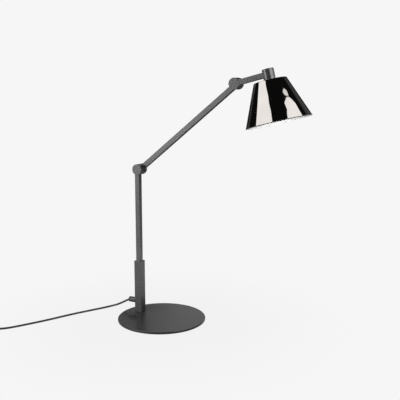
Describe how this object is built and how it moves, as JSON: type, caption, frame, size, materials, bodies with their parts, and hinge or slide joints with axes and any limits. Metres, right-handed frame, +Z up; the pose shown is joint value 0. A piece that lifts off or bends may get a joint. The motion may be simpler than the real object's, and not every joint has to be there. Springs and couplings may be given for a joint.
{
  "type": "desk lamp",
  "caption": "Desk lamp with a round base, an off-centre square post, square arms on disc hinges and a black mirror cone shade; its arms swivel and tilt, and a mains lead has a switch and plug.",
  "frame": {"origin": "middle of the round base's underside, on the table", "axes": "+Z up, +X from the post towards the shade, +Y to the rear, where the upper arm's layer lies"},
  "size_m": [0.8521, 0.4521, 0.6212],
  "materials": {
    "grey_coat": "satin dark grey powder coat on steel",
    "grey_coat_light": "satin dark grey powder coat",
    "black_mirror": "polished black mirror",
    "zinc_steel": "zinc plated",
    "raw_aluminium": "milled",
    "bulb_aluminium": "bright",
    "brass": "plain",
    "pad_rubber": "matt foam rubber",
    "black_sheath": "smooth black sheath",
    "black_plastic": "fine matt black",
    "black_gloss": "gloss black",
    "bush_plastic": "natural bearing plastic",
    "white_ceramic": "unglazed white",
    "white_plastic": "matt white",
    "opal_plastic": "opal white"
  },
  "bodies": {
    "base": {"base_pad": "pad_rubber", "base_plate": "grey_coat", "post_screws": "zinc_steel", "post_foot": "raw_aluminium", "post_tube": "grey_coat", "stem_bush_top": "bush_plastic", "stem_bush_low": "bush_plastic", "cord_gland": "black_plastic", "gland_nut": "black_plastic", "post_cable": "black_sheath", "switch_base": "black_plastic", "switch_cover": "black_plastic", "switch_screws": "zinc_steel", "cord_lead": "black_sheath", "cord_link": "black_sheath", "cord_coil": "black_sheath", "cord_tail": "black_sheath", "coil_tie": "black_plastic", "plug_body": "black_plastic", "plug_pins": "brass"},
    "rocker": {"switch_rocker": "black_gloss"},
    "lower_arm": {"stem": "zinc_steel", "stem_washer": "bush_plastic", "stem_collar": "zinc_steel", "lower_tube": "grey_coat_light", "lower_cable": "black_sheath", "elbow_front_disc": "grey_coat_light", "elbow_sleeve": "zinc_steel", "elbow_stop_pin": "zinc_steel", "elbow_wave_washer": "zinc_steel", "elbow_nut": "brass"},
    "upper_arm": {"elbow_rear_disc": "grey_coat_light", "elbow_friction_washer": "bush_plastic", "elbow_cover": "grey_coat_light", "upper_tube": "grey_coat_light", "upper_cable": "black_sheath", "wrist_rear_disc": "grey_coat_light", "wrist_friction_washer": "bush_plastic", "wrist_cover": "grey_coat_light"},
    "head": {"wrist_front_disc": "grey_coat_light", "wrist_sleeve": "zinc_steel", "wrist_stop_pin": "zinc_steel", "wrist_wave_washer": "zinc_steel", "wrist_nut": "brass", "head_tube": "grey_coat_light", "hub": "grey_coat_light", "hub_cap": "grey_coat_light", "hub_nipple": "zinc_steel", "head_cable": "black_sheath", "shade": "black_mirror", "shade_nut": "zinc_steel", "holder_shell": "black_plastic", "holder_core": "white_ceramic", "holder_screw_shell": "brass", "holder_contact": "brass", "bulb_cap": "bulb_aluminium", "bulb_neck": "white_plastic", "bulb_globe": "opal_plastic"}
  },
  "joints": [
    {"name": "swivel", "type": "hinge", "parent": "base", "child": "lower_arm", "pos_m": [-0.0746, 0.0173, 0.139], "axis": [0, 0, 1], "range_deg": [-150, 150]},
    {"name": "elbow", "type": "hinge", "parent": "lower_arm", "child": "upper_arm", "pos_m": [-0.0746, 0.0173, 0.375], "axis": [0, -1, 0], "range_deg": [-65, 50]},
    {"name": "wrist", "type": "hinge", "parent": "upper_arm", "child": "head", "pos_m": [0.18918, 0.0173, 0.58633], "axis": [0, -1, 0], "range_deg": [-55, 75]},
    {"name": "rocker", "type": "hinge", "parent": "base", "child": "rocker", "pos_m": [-0.3331, -0.29315, 0.013], "axis": [-0.866, 0.5, 0], "range_deg": [0, 14]}
  ]
}
